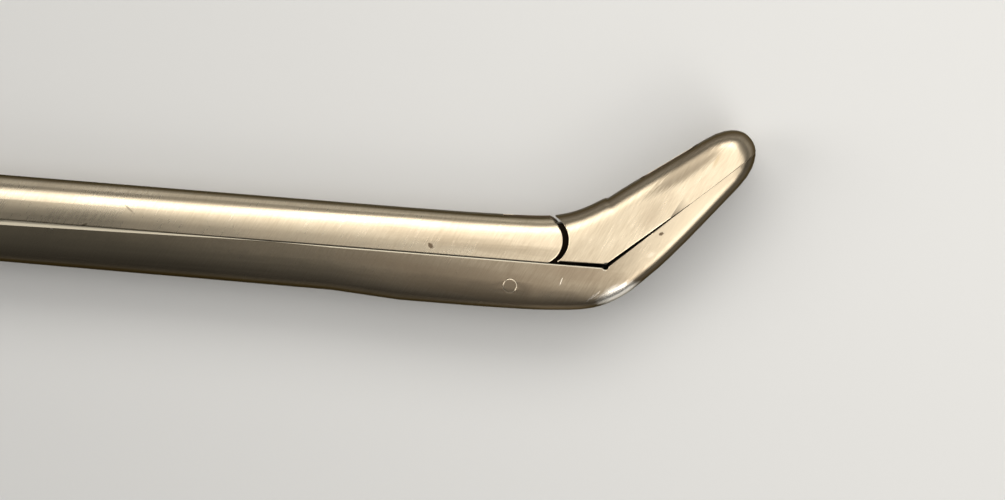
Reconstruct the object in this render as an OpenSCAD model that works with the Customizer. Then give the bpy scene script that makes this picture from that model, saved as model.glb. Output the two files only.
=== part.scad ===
// Nasal forceps with upturned cupped jaws, a sliding shaft and two ring handles.
// The forceps lies on its side. X runs along the shaft towards the jaws, Y is the side to
// which the upper jaw opens, and Z points up, along the pins. The origin is on the axis of
// the handle pivot, in the plane that the joint plate rests on.

/* [Shaft] */
// Distance along the shaft from the handle pivot to the throat of the jaws
reach = 112; // [95:1:130]
// Height of the slide bar above the parting line
slide_h = 2.66; // [2.4:0.02:3]
// Depth of the lower bar below the parting line
bar_h = 2.76; // [2.6:0.02:3.1]
// Width of the shaft
shaft_w = 3.8; // [3.6:0.1:4.4]
// Running gap between the slide bar and the lower bar
slide_gap = 0.04; // [0.02:0.01:0.08]
// Bevel along the top edges of the lower bar
bar_bevel = 0.32; // [0.2:0.02:0.4]
// Distance behind the throat at which that bevel starts to run out
bevel_back = 38; // [34:1:46]

/* [Jaws] */
// Angle between the bite line and the shaft
jaw_angle = 41.9; // [36:0.1:45]
// Length of the jaws along the bite line, from the throat to the tip
jaw_len = 12; // [11:0.01:14]
// Width of the jaws
jaw_w = 4; // [3.8:0.1:4.6]
// Height of the upper jaw above the bite line, at the back of its straight crown
crown_h = 3.2; // [2.9:0.02:3.6]
// Depth of the lower jaw below the bite line, at the back of its straight belly
belly_h = 1.96; // [1.8:0.02:2.2]
// Height of the closed jaws where the round of the tip starts
tip_h = 3.58; // [3.3:0.02:3.9]
// Length of the round at the tip
tip_round = 2.33; // [1.8:0.01:2.8]
// Angle through which the upper jaw opens
jaw_open = 38; // [30:1:40]
// Gap between the jaws at the throat
throat_gap = 0.2; // [0.1:0.01:0.3]
// Gap between the rims of the closed jaws at the tip
tip_gap = 0.02; // [0.01:0.01:0.05]

/* [Cups and windows] */
// Radius of the hollow in both jaws
cup_r = 1.42; // [1.2:0.02:1.6]
// How far the axis of the hollow lies above the bite line for the lower jaw
lower_cup_lift = 0.6; // [0.4:0.02:0.8]
// Distance from the throat to the back of the hollow
cup_back = 3; // [2.6:0.1:3.6]
// Solid rim left between the hollow and the tip
tip_rim = 0.75; // [0.6:0.05:1]
// Distance from the throat to the back of the windows
window_back = 4.9; // [4.4:0.1:5.4]
// Length of the windows
window_len = 4.3; // [3.6:0.1:4.8]
// Width of the windows
window_w = 1.8; // [1.4:0.1:2.2]

/* [Jaw joint] */
// Distance of the jaw pivot behind the throat
pivot_back = 5.89; // [5.6:0.01:6.2]
// Depth of the jaw pivot below the parting line
pivot_drop = 1.57; // [1.5:0.01:1.65]
// Diameter of the jaw pivot pin
pivot_pin_d = 0.88; // [0.7:0.02:1]
// Diameter of the drive pin that the slide bar pushes
drive_pin_d = 0.8; // [0.6:0.02:0.9]
// Radius of the round nose of the slide bar
nose_r = 1.51; // [1.4:0.01:1.6]
// Distance of the middle of the nose behind the throat
nose_back = 4.34; // [4.2:0.01:4.5]
// Height of the middle of the nose above the parting line
nose_up = 1.4; // [1.3:0.01:1.5]
// Gap between the nose and the heel of the upper jaw
heel_gap = 0.37; // [0.35:0.01:0.6]
// Gap under the upper jaw at its heel
base_gap = 0.17; // [0.12:0.01:0.22]
// Thickness of the tongue of the upper jaw
tongue_t = 1.4; // [1.2:0.05:1.5]
// Radius of the tongue round its two pins
tongue_r = 0.94; // [0.85:0.01:0.96]
// Side play of the tongue and of the blade in their slots
side_play = 0.05; // [0.03:0.01:0.08]
// Radial play of a pin that a part turns on
pin_play = 0.03; // [0.02:0.01:0.05]
// Radial play of the drive pin in its grooves
groove_play = 0.05; // [0.05:0.01:0.09]
// Depth of the grooves in the fork of the slide bar
groove_depth = 0.5; // [0.4:0.02:0.6]

/* [Slide guides] */
// Distance of the front guide behind the throat
front_guide = 16; // [15:0.5:22]
// Distance of the rear guide in front of the handle pivot
rear_guide = 26; // [24:0.5:32]
// Length of each guide key
key_len = 5; // [4:0.2:6]
// Width of the neck of a key
key_neck_w = 1; // [0.8:0.05:1.2]
// Width of the head of a key
key_head_w = 1.8; // [1.6:0.05:2.2]
// Height of the neck of a key, which is the ledge that holds the head down
key_neck_h = 0.7; // [0.5:0.02:0.8]
// Height of the head of a key
key_head_h = 0.65; // [0.5:0.05:0.8]

/* [Handle joint] */
// Height of the parting line above the handle pivot
parting_up = 6.5; // [6.4:0.1:8]
// Radius of the joint plate
plate_r = 6.6; // [6.4:0.1:7.4]
// Thickness of the joint plate, which the forceps rests on
plate_t = 5.6; // [5.2:0.1:6.4]
// Thickness of the blade of the finger handle inside the plate
blade_t = 2.4; // [2:0.1:2.6]
// Radius of the hub of the blade
hub_r = 4.7; // [4.2:0.1:5]
// Diameter of the handle screw where the blade turns on it
screw_d = 3.2; // [2.8:0.1:3.6]
// Diameter of the head of the screw
screw_head_d = 5; // [4.6:0.1:5.6]
// Thickness of the head of the screw
screw_head_h = 0.9; // [0.7:0.05:1]
// Width of the driver slot in the head
screw_slot_w = 0.7; // [0.5:0.05:0.9]
// Diameter of the threaded end of the screw
screw_thread_d = 2.5; // [2:0.1:2.7]
// Height of the lever pin above the parting line
lever_pin_up = 1.4; // [1.3:0.02:1.5]
// Diameter of the lever pin
lever_pin_d = 1.6; // [1.4:0.1:1.8]
// Length of the slide bar behind the handle pivot
slide_tail = 6.4; // [5.5:0.1:7]
// Length of the lower bar behind the handle pivot
bar_tail = 8.2; // [7.6:0.1:9]

/* [Ring handles] */
// Inner diameter of the rings
ring_in_d = 22; // [20:0.5:25]
// Thickness of the bar that the rings are made of
ring_bar_d = 4.8; // [4.2:0.1:5.2]
// Distance of both ring centres below the handle pivot
ring_drop = 79; // [70:1:90]
// Distance of the thumb ring behind the handle pivot
thumb_ring_back = 28; // [26:0.5:34]
// Distance of the finger ring in front of the handle pivot, with the jaws closed
finger_ring_front = 10; // [9:0.5:14]
// Width of a shank where it leaves the joint
shank_w = 5.8; // [5:0.1:6.2]
// Width of a shank where it meets its ring
shank_end_w = 4.4; // [4:0.1:5]

/* [Hidden] */

$fn = 48;
shaft_sides = 40;
handle_sides = 20;
eps = 0.01;
far = 60;
STEEL = "#c8bba9";
PIN_STEEL = "#b3a999";
DARK_STEEL = "#9d9384";

// Places in the jaw joint, measured from the throat
jaw_pivot = [-pivot_back, -pivot_drop];
nose_mid = [-nose_back, nose_up];
heel_r = nose_r + 0.04;
heel_lift = 0.04;
heel_mid = nose_mid + [heel_gap - (heel_r - nose_r), heel_lift];

// The drive pin swings on this radius, and the slide bar follows it along the shaft
link = nose_mid - jaw_pivot;
link_r = norm(link);
link_angle = atan2(link.y, link.x);
slide_travel = link_r * (cos(link_angle) - cos(link_angle + jaw_open));
link_rise = link_r * sin(min(link_angle + jaw_open, 90)) - link.y;
fork_w = tongue_t + 2 * side_play;
fork_back = nose_back + 2.3;

// The lever leans forward by half its travel when the jaws are closed
lever_h = parting_up + lever_pin_up;
handle_open = 2 * atan(slide_travel / 2 / lever_h);
lever_pin_x = slide_travel / 2;
lever_head_r = lever_pin_d / 2 + 0.75;
blade_slot_w = blade_t + 2 * side_play;
hub_gap = 0.3;
mid_z = plate_t / 2;
cheek_t = (plate_t - blade_slot_w) / 2;
screw_end = cheek_t - 0.45;

// Ring handles
ring_r = (ring_in_d + ring_bar_d) / 2;
thumb_ring = [-thumb_ring_back, -ring_drop];
finger_ring = [finger_ring_front, -ring_drop];
shank_t = 0.9 * plate_t;

// Places of the guides, measured from the throat: each key works in front of its own mouth
guide_first = rear_guide - reach;
guides = [guide_first, (guide_first - front_guide) / 2, -front_guide];
mouth_gap = 0.4;
key_play = 0.05;

// Two dimensional helpers
function unit(a) = [cos(a), sin(a)];
function left(v) = [-v.y, v.x];
function on_bite(s, n) = s * unit(jaw_angle) + n * left(unit(jaw_angle));
function mix(a, b, t) = a + (b - a) * t;

// A cross-section is [top x, top y, bottom x, bottom y, half width, squareness of its upper
// half, squareness of its lower half]: 2 is oval, and higher values have flatter sides
function across(top, bottom, half_w, square) =
    [top.x, top.y, bottom.x, bottom.y, half_w, square.x, square.y];
function upright(x, top, bottom, half_w, square) =
    across([x, top], [x, bottom], half_w, square);
function along_bite(s, top, bottom, half_w, square) =
    across(on_bite(s, top), on_bite(s, bottom), half_w, square);

// A smooth curve through four cross-sections, between the second and the third
function blend(a, b, c, d, t) =
    0.5 * (2 * b + (c - a) * t + (2 * a - 5 * b + 4 * c - d) * t * t
           + (3 * b - a - 3 * c + d) * t * t * t);
function smooth(rows, steps) =
    [for (i = [0:len(rows) - 2]) for (j = [0:steps - 1])
        blend(rows[max(i - 1, 0)], rows[i], rows[i + 1],
              rows[min(i + 2, len(rows) - 1)], j / steps),
     rows[len(rows) - 1]];

// The rounded cross-section as points in space
function power(v, e) = sign(v) * pow(abs(v), e);
function rim(row, sides) =
    let (mid = [row[0] + row[2], row[1] + row[3]] / 2,
         half = [row[0] - row[2], row[1] - row[3]] / 2)
    [for (k = [0:sides - 1])
        let (a = 360 * k / sides, flat = 2 / (sin(a) > 0 ? row[5] : row[6]),
             up = power(sin(a), flat))
        [mid.x + half.x * up, mid.y + half.y * up, row[4] * power(cos(a), flat)]];

// A skin over a list of cross-sections: it runs round in a loop, or has a flat cap at each end
module skin(rows, sides, loop = false) {
    count = len(rows);
    walls = [for (i = [0:count - (loop ? 1 : 2)]) for (k = [0:sides - 1])
        let (a = i * sides + k, b = i * sides + (k + 1) % sides,
             c = (a + sides) % (count * sides), d = (b + sides) % (count * sides))
        each [[a, d, c], [a, b, d]]];
    caps = [[for (k = [sides - 1:-1:0]) k],
            [for (k = [0:sides - 1]) (count - 1) * sides + k]];
    polyhedron(points = [for (row = rows) each rim(row, sides)],
               faces = loop ? walls : concat(walls, caps));
}

// The closed forceps from the joint plate to the tip, as one ground bar.
// The shaft is slim and nearly oval, and it grows squarer towards the jaws.
half_w = shaft_w / 2;
jaw_half_w = jaw_w / 2;
shaft_rows = [
    upright(-reach - bar_tail, slide_h + 0.1, -bar_h - 1.5, plate_t / 2 - 0.7, [3, 3]),
    upright(-reach - bar_tail + 0.5, slide_h + 0.25, -bar_h - 2, plate_t / 2 - 0.3, [3.4, 3.4]),
    upright(-reach - bar_tail + 1.4, slide_h + 0.4, -bar_h - 2.7, plate_t / 2 - 0.05, [4, 4]),
    upright(-reach - 4, slide_h + 0.6, -bar_h - 3.6, plate_t / 2, [4.6, 4.6]),
    upright(-reach + 4, slide_h + 0.6, -bar_h - 3.6, plate_t / 2, [4.6, 4.6]),
    upright(-reach + 9, slide_h + 0.42, -bar_h - 2.1, mix(plate_t / 2, half_w, 0.3), [3.8, 3.8]),
    upright(-reach + 14, slide_h + 0.2, -bar_h - 0.8, mix(plate_t / 2, half_w, 0.7), [3, 3]),
    upright(-reach + 20, slide_h + 0.04, -bar_h - 0.15, mix(plate_t / 2, half_w, 0.95), [2.5, 2.5]),
    upright(-reach + 27, slide_h, -bar_h, half_w, [2.3, 2.3]),
    upright(-38, slide_h, -bar_h, half_w, [2.3, 2.3]),
    upright(-24, slide_h - 0.03, -bar_h - 0.08, half_w, [2.6, 2.5]),
    upright(-17, slide_h - 0.03, -bar_h - 0.12, mix(half_w, jaw_half_w, 0.15), [2.9, 2.8]),
    upright(-12.7, slide_h - 0.03, -bar_h - 0.39, mix(half_w, jaw_half_w, 0.3), [3.1, 3.1]),
    upright(-9, slide_h - 0.02, -bar_h - 0.39, mix(half_w, jaw_half_w, 0.5), [3.3, 3.4])];
bend_rows = [
    upright(-7.6, slide_h, -bar_h - 0.38, mix(half_w, jaw_half_w, 0.7), [3.4, 3.6]),
    upright(-6, slide_h + 0.04, -bar_h - 0.35, mix(half_w, jaw_half_w, 0.85), [3.4, 3.8]),
    across([-4.6, slide_h + 0.1], [-4.3, -bar_h - 0.3], jaw_half_w, [3.4, 4]),
    across([-3.4, slide_h + 0.22], [-2.7, -bar_h - 0.2], jaw_half_w, [3.4, 4]),
    across([-2.55, slide_h + 0.44], [-1.35, -bar_h - 0.05], jaw_half_w, [3.4, 4.2]),
    across([-1.8, slide_h + 0.74], [-0.2, -bar_h + 0.25], jaw_half_w, [3.4, 4.2]),
    across([-1.1, slide_h + 1.11], [0.8, -bar_h + 0.76], jaw_half_w, [3.4, 4.2]),
    across([-0.45, slide_h + 1.5], [1.74, -bar_h + 1.44], jaw_half_w, [3.4, 4.2]),
    along_bite(2.6, crown_h + 0.08, -belly_h - 0.1, jaw_half_w, [3.4, 4.2])];
taper_start = 3.6;
tip_start = jaw_len - tip_round;
tip_mid = 0.73;
jaw_rows = [
    for (t = [0:0.25:1])
        along_bite(mix(taper_start, tip_start, t),
                   mix(crown_h, tip_mid + tip_h / 2, pow(t, 1.05)),
                   mix(-belly_h, tip_mid - tip_h / 2, pow(t, 1.1)),
                   jaw_half_w - 0.1 * t * t, [3.4 - 0.2 * t, 4.2 - 0.6 * t])];
// The tip closes as a blunt rounded end, whose middle rises a little
tip_square = 2.35;
tip_rows = [
    for (a = [15, 30, 42, 54, 64, 73, 81, 87])
        let (run = tip_round * pow(sin(a), 2 / tip_square),
             close = pow(cos(a), 2 / tip_square),
             half = close * (tip_h / 2 - 0.14 * run), mid = tip_mid + 0.04 * run)
        along_bite(tip_start + run, mid + half, mid - half,
                   close * (jaw_half_w - 0.1), [3.2 - 0.6 * sin(a), 3.6 - sin(a)])];

// One stretch of the ground bar, from one cross-section to another
bend_steps = 3;
bar_rows = concat(shaft_rows, smooth(bend_rows, bend_steps), jaw_rows, tip_rows);
bend_first = len(shaft_rows);
nose_row = bend_first + 4 * bend_steps;
heel_row = bend_first + 2 * bend_steps;
module ground_bar(first = 0, last = len(bar_rows) - 1) {
    skin([for (i = [first:last]) bar_rows[i]], shaft_sides);
}

module at_throat() {
    translate([reach, parting_up, mid_z]) children();
}

// The rounded rear ends of both bars, seen from the side
bar_tail_r = 4.4;
bar_tail_drop = 0.9;
slide_tail_r = slide_h + 0.9;
module rear_round(tail, r, drop) {
    translate([-reach - tail + r, -drop]) {
        circle(r = r);
        translate([0, -far]) square([2 * reach, 2 * far]);
    }
}

// Flat cut shapes seen from the side, used through the whole width
module through(width) {
    linear_extrude(height = width, center = true) children();
}

module stadium(length, width) {
    square([length - width, width], center = true);
    for (side = [-1, 1]) translate([side * (length - width) / 2, 0]) circle(d = width);
}

// The four corners of a belt round two circles, without their rounds
function belt(a, ra, b, rb) =
    let (d = b - a, turn = acos((ra - rb) / norm(d)), at = atan2(d.y, d.x))
    [a + ra * unit(at + turn), b + rb * unit(at + turn),
     b + rb * unit(at - turn), a + ra * unit(at - turn)];

module arm(a, ra, b, rb) {
    polygon(belt(a, ra, b, rb));
    translate(a) circle(ra);
    translate(b) circle(rb);
}

// The hollow inside the jaws: a body of revolution about a line along the bite
module cup() {
    back = cup_back;
    front = jaw_len - tip_rim;
    mid = mix(back, front, 0.58);
    profile = [for (a = [180:-12:0])
        let (x = cos(a), r = pow(sin(a), 0.8))
        [cup_r * r, x < 0 ? mid + x * (mid - back) : mid + x * (front - mid)]];
    rotate([0, 0, jaw_angle]) rotate([0, 90, 0]) rotate_extrude()
        polygon(concat([[0, back]], profile, [[0, front]]));
}

// An oval window through the roof or the floor of a cup
module window() {
    rotate([0, 0, jaw_angle]) translate([window_back + window_len / 2, 0, 0])
        rotate([-90, 0, 0]) linear_extrude(height = far / 10) stadium(window_len, window_w);
}

// A small round relief at the throat keeps the corner of the jaws clean
relief_d = 0.4;
module throat_relief() {
    translate([-0.07, 0.1]) circle(d = relief_d);
}

// The slot that a slitting cutter leaves in the lower bar for the tongue
module tongue_slot() {
    cut_r = 4;
    mid = [jaw_pivot.x + 0.99, cut_r - bar_h + 0.01];
    translate([mid.x, mid.y, 0]) cylinder(r = cut_r, h = fork_w, center = true, $fn = 96);
}

// A guide key under the slide bar, and the undercut slot that it runs in
module key_shape() {
    root = 0.4;
    neck_h = key_neck_h + key_play;
    translate([-key_len / 2, -neck_h, -key_neck_w / 2])
        cube([key_len, neck_h + slide_gap + root, key_neck_w]);
    translate([-key_len / 2, -neck_h - key_head_h, -key_head_w / 2])
        cube([key_len, key_head_h, key_head_w]);
}

module key_slot() {
    run = key_len + slide_travel + 2 * mouth_gap;
    neck = key_neck_w + 2 * key_play;
    head = key_head_w + 2 * key_play;
    depth = key_neck_h + key_head_h + 2 * key_play;
    front = key_len / 2 + mouth_gap;
    mouth = key_len + 2 * mouth_gap;
    translate([front - run, -depth, -neck / 2]) cube([run, depth + 1, neck]);
    translate([front - run - mouth, -depth, -head / 2])
        cube([run + mouth, depth - key_neck_h, head]);
    translate([front - run - mouth, -depth, -head / 2]) cube([mouth, depth + 1, head]);
}

// The joint plate with its bevelled rim, flat where it meets the parting line
module plate() {
    rim_bevel = 0.7;
    intersection() {
        rotate_extrude() polygon([
            [0, -plate_t / 2], [plate_r - rim_bevel, -plate_t / 2],
            [plate_r, rim_bevel - plate_t / 2], [plate_r, plate_t / 2 - rim_bevel],
            [plate_r - rim_bevel, plate_t / 2], [0, plate_t / 2]]);
        translate([-far, parting_up - 2 * far, -far]) cube(2 * far);
    }
}

// A finger ring: its bar has a round section
module finger_loop() {
    steps = 48;
    skin([for (i = [0:steps - 1])
        let (a = unit(-360 * i / steps))
        across((ring_r + ring_bar_d / 2) * a, (ring_r - ring_bar_d / 2) * a,
               ring_bar_d / 2, [2, 2])], handle_sides, loop = true);
}

// A shank that follows a gentle curve and thins towards its ring
function curve(p, t) =
    pow(1 - t, 3) * p[0] + 3 * pow(1 - t, 2) * t * p[1]
    + 3 * (1 - t) * t * t * p[2] + t * t * t * p[3];
function heading(p, t) =
    let (d = pow(1 - t, 2) * (p[1] - p[0]) + 2 * (1 - t) * t * (p[2] - p[1])
             + t * t * (p[3] - p[2])) d / norm(d);
module shank(path) {
    steps = 12;
    skin([for (i = [0:steps])
        let (t = i / steps, mid = curve(path, t), side = left(heading(path, t)),
             half = mix(shank_w, shank_end_w, t) / 2)
        across(mid + half * side, mid - half * side,
               mix(shank_t, ring_bar_d, t) / 2, [2.6, 2.6])], handle_sides);
}

// The slot of the plate: round the hub, up to the slide bar and down to the finger shank
module blade_room() {
    swing = 2 * lever_head_r + 0.8;
    through(blade_slot_w) {
        circle(r = hub_r + hub_gap);
        polygon([[-swing, 0], [swing, 0], [swing - 0.2, lever_h + far / 10],
                 [-swing + 0.2, lever_h + far / 10]]);
        polygon([[0, 0], 2 * plate_r * unit(-114), 2 * plate_r * unit(-76),
                 2 * plate_r * unit(-30)]);
    }
}

// Lower bar, fixed jaw, joint plate and thumb handle, forged in one piece
module fixed_half() {
    path = [[-3, 0], [-12, -14], [-thumb_ring_back + 7, -0.5 * ring_drop],
            thumb_ring + (ring_r - 1) * unit(72)];
    color(STEEL) difference() {
        union() {
            at_throat() intersection() {
                ground_bar();
                through(far) intersection() {
                    polygon([[-2 * reach, -far], [-2 * reach, 0], [0, 0],
                             on_bite(far / 2, 0), on_bite(far / 2, -far)]);
                    rear_round(bar_tail, bar_tail_r, bar_tail_drop);
                }
            }
            translate([0, 0, mid_z]) {
                plate();
                shank(path);
                translate(thumb_ring) finger_loop();
            }
        }
        translate([0, 0, mid_z]) blade_room();
        // Screw hole: head and shank in the upper cheek, thread in the lower one
        translate([0, 0, mid_z]) cylinder(d = screw_d + 2 * eps, h = far);
        translate([0, 0, plate_t - screw_head_h - side_play])
            cylinder(d = screw_head_d + 2 * side_play, h = far);
        translate([0, 0, cheek_t - screw_end]) cylinder(d = screw_thread_d + 2 * eps, h = mid_z);
        at_throat() {
            for (x = guides) translate([x, 0, 0]) key_slot();
            tongue_slot();
            translate(jaw_pivot) cylinder(d = pivot_pin_d + 2 * eps, h = far, center = true);
            through(far) throat_relief();
            translate(on_bite(0, lower_cup_lift)) cup();
            mirror_on_bite() window();
            bar_edges();
        }
    }
}
// The window of the lower jaw points down from the bite line
module mirror_on_bite() {
    rotate([0, 0, jaw_angle]) mirror([0, 1, 0]) rotate([0, 0, -jaw_angle]) children();
}

// Bevels along the top edges of the lower bar, which run out at both ends
bevel_front = 34;
module bar_edges() {
    start = bevel_front - reach;
    runout = 17;
    tilt = atan(bar_bevel / runout);
    for (side = [-1, 1]) translate([0, 0, side * half_w]) {
        translate([start, 0, 0]) edge_cutter(-bevel_back - start);
        translate([-bevel_back, 0, 0]) rotate([0, -side * tilt, 0]) edge_cutter(runout);
        translate([start, 0, 0]) rotate([0, side * tilt, 0]) mirror([1, 0, 0])
            edge_cutter(runout / 2);
    }
}

module edge_cutter(length) {
    wide = sqrt(2) * bar_bevel;
    rotate([45, 0, 0]) translate([0, -wide / 2, -wide / 2]) cube([length, wide, wide]);
}

// Slide bar: forked round nose, guide keys, and a forked tail for the lever
module slide_bar() {
    color(STEEL) at_throat() {
        difference() {
            intersection() {
                ground_bar(last = nose_row);
                through(far) intersection() {
                    union() {
                        translate([-2 * reach, 0]) square([2 * reach - nose_back, far / 2]);
                        translate(nose_mid) circle(r = nose_r);
                    }
                    translate([-2 * reach, slide_gap]) square([2 * reach, far / 2]);
                    rear_round(slide_tail, slide_tail_r, 0);
                }
            }
            // Fork for the tongue, and the blind grooves for the drive pin
            translate([-fork_back, -far / 2, -fork_w / 2]) cube([far / 2, far, fork_w]);
            translate([nose_mid.x, 0, 0]) drive_groove();
            // Fork for the lever, and the hole of its pin
            translate([lever_pin_x - reach, 0, 0]) {
                cube([2 * lever_head_r + 1.6, far, blade_slot_w], center = true);
                translate([0, lever_pin_up, 0])
                    cylinder(d = lever_pin_d + 2 * eps, h = far, center = true);
            }
        }
        for (x = guides) translate([x, 0, 0]) key_shape();
    }
}

module drive_groove() {
    r = drive_pin_d / 2 + groove_play;
    top = nose_up + link_rise;
    deep = fork_w + 2 * groove_depth;
    translate([-r, -1, -deep / 2]) cube([2 * r, top + 1, deep]);
    translate([0, top, 0]) cylinder(r = r, h = deep, center = true);
}

// Upper jaw: cupped beak, concave heel, and the tongue that turns on the pivot pin
module upper_jaw() {
    under_throat = throat_gap + 0.04;
    color(STEEL) at_throat() difference() {
        union() {
            intersection() {
                ground_bar(first = heel_row);
                through(far) difference() {
                    polygon([[-nose_back, base_gap], [-0.1, under_throat],
                             on_bite(0.35, throat_gap), on_bite(0.58 * jaw_len, tip_gap),
                             on_bite(far / 2, tip_gap), on_bite(far / 2, far / 2),
                             [-nose_back, far]]);
                    translate(heel_mid) circle(r = heel_r);
                    throat_relief();
                }
            }
            through(tongue_t) {
                arm(jaw_pivot, tongue_r, nose_mid, tongue_r);
                arm(nose_mid, tongue_r, [-1.9, 1.6], tongue_r);
                polygon([belt(jaw_pivot, tongue_r, [-1.9, 1.2], 1)[3], [-1.35, 0.25],
                         [-1.9, 1.6], nose_mid, jaw_pivot]);
            }
        }
        translate(jaw_pivot) cylinder(d = pivot_pin_d + 2 * pin_play, h = far, center = true);
        translate(nose_mid) cylinder(d = drive_pin_d + 2 * eps, h = far, center = true);
        cup();
        window();
    }
}

// Jaw pivot pin, its ends ground flush with the sides of the lower bar
module jaw_pivot_pin() {
    color(PIN_STEEL) at_throat() intersection() {
        translate(jaw_pivot) cylinder(d = pivot_pin_d, h = far, center = true);
        ground_bar(bend_first, heel_row);
    }
}

// Drive pin, fixed in the tongue and hidden between the cheeks of the slide bar
module drive_pin() {
    length = fork_w + 2 * groove_depth - 2 * side_play;
    color(DARK_STEEL) at_throat() translate(nose_mid)
        cylinder(d = drive_pin_d, h = length, center = true);
}

// Finger handle: ring, shank and blade with the lever that moves the slide bar
module finger_handle() {
    path = [[0.6, -4], [3, -24], [finger_ring.x - 3.5, -0.58 * ring_drop],
            finger_ring + (ring_r - 1) * unit(98)];
    pin_at = [lever_pin_x, lever_h];
    lean = atan2(pin_at.y, pin_at.x);
    color(STEEL) translate([0, 0, mid_z]) difference() {
        union() {
            difference() {
                shank(path);
                cylinder(r = plate_r + hub_gap, h = far, center = true, $fn = 96);
            }
            translate(finger_ring) finger_loop();
            through(blade_t) {
                circle(r = hub_r);
                arm([0, 0], 0.8 * hub_r, pin_at, lever_head_r);
                arm([0.3, -2], 2.6, curve(path, 0.14), 2.5);
            }
        }
        cylinder(d = screw_d + 2 * pin_play, h = far, center = true);
        translate(pin_at) rotate([0, 0, lean]) through(far)
            stadium(lever_pin_d + 0.36, lever_pin_d + 2 * pin_play);
    }
}

// Handle screw: slotted head on the upper side, thread in the lower cheek
module handle_screw() {
    head_top = plate_t - side_play;
    color(DARK_STEEL) difference() {
        union() {
            translate([0, 0, head_top - screw_head_h])
                cylinder(d = screw_head_d, h = screw_head_h);
            translate([0, 0, cheek_t + side_play])
                cylinder(d = screw_d, h = head_top - screw_head_h - cheek_t);
            translate([0, 0, cheek_t - screw_end + side_play])
                cylinder(d = screw_thread_d, h = mid_z);
        }
        translate([0, 0, head_top]) rotate([0, 0, 24])
            cube([screw_head_d + 1, screw_slot_w, screw_head_h], center = true);
    }
}

// Lever pin across the tail of the slide bar
module lever_pin() {
    color(PIN_STEEL) translate([lever_pin_x, lever_h, mid_z])
        cylinder(d = lever_pin_d, h = plate_t - 0.1, center = true);
}

fixed_half();
slide_bar();
upper_jaw();
jaw_pivot_pin();
drive_pin();
finger_handle();
handle_screw();
lever_pin();
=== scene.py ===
"""Looks of an upturned nasal cutting forceps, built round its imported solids.

The forceps lies on its side. X runs along the shaft to the jaws, Y is the side to which the
upper jaw opens, and Z points up along the pins. Every length is in metres: MM is one
millimetre.
"""
import logging
import math
from dataclasses import dataclass, field
from enum import Enum
from typing import Any, Iterable, Sequence

import bmesh
import bpy
from mathutils import Matrix, Quaternion, Vector
from mathutils.bvhtree import BVHTree


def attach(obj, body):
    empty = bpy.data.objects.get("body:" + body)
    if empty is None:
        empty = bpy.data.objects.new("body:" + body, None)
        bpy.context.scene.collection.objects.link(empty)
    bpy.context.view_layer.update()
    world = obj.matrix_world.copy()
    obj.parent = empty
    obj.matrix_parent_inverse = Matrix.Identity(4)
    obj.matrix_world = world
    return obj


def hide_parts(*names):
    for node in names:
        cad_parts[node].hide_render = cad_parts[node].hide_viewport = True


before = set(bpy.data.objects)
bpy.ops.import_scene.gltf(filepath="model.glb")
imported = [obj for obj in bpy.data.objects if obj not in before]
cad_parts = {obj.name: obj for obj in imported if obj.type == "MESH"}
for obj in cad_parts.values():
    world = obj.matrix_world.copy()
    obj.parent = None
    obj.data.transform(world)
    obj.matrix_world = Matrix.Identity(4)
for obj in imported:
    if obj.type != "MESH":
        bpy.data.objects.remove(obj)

MM = 0.001
# Mesh value that holds how strongly the painted shade of crown and belly covers each point
ROUND_SHADE = "round_shade_share"
Socket = bpy.types.NodeSocket
Tree = bpy.types.NodeTree
log = logging.getLogger("forceps")


def linear(hex_colour: str) -> tuple[float, float, float, float]:
    """Turns an sRGB hex colour into the linear colour that a shader takes.

    Args:
        hex_colour: Six hex digits, with or without a leading hash.

    Returns:
        Red, green, blue and an alpha of 1.
    """
    digits = hex_colour.lstrip("#")
    parts = []
    for start in (0, 2, 4):
        value = int(digits[start:start + 2], 16) / 255
        parts.append(value / 12.92 if value <= 0.04045 else ((value + 0.055) / 1.055) ** 2.4)
    return (parts[0], parts[1], parts[2], 1.0)


def add_node(tree: Tree, kind: str, links: dict[Any, Any] | None = None,
             **settings: Any) -> bpy.types.Node:
    """Adds one shader node with its settings, input values and links.

    Args:
        tree: The node tree that gets the node.
        kind: The node's type name, such as ShaderNodeMix.
        links: Input name or number to a value, or to the output socket that feeds it.
        settings: Properties of the node itself, such as its operation.

    Returns:
        The new node.
    """
    made = tree.nodes.new(kind)
    for name, value in settings.items():
        setattr(made, name, value)
    for name, value in (links or {}).items():
        if isinstance(value, Socket):
            tree.links.new(value, made.inputs[name])
        else:
            made.inputs[name].default_value = value
    return made


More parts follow.
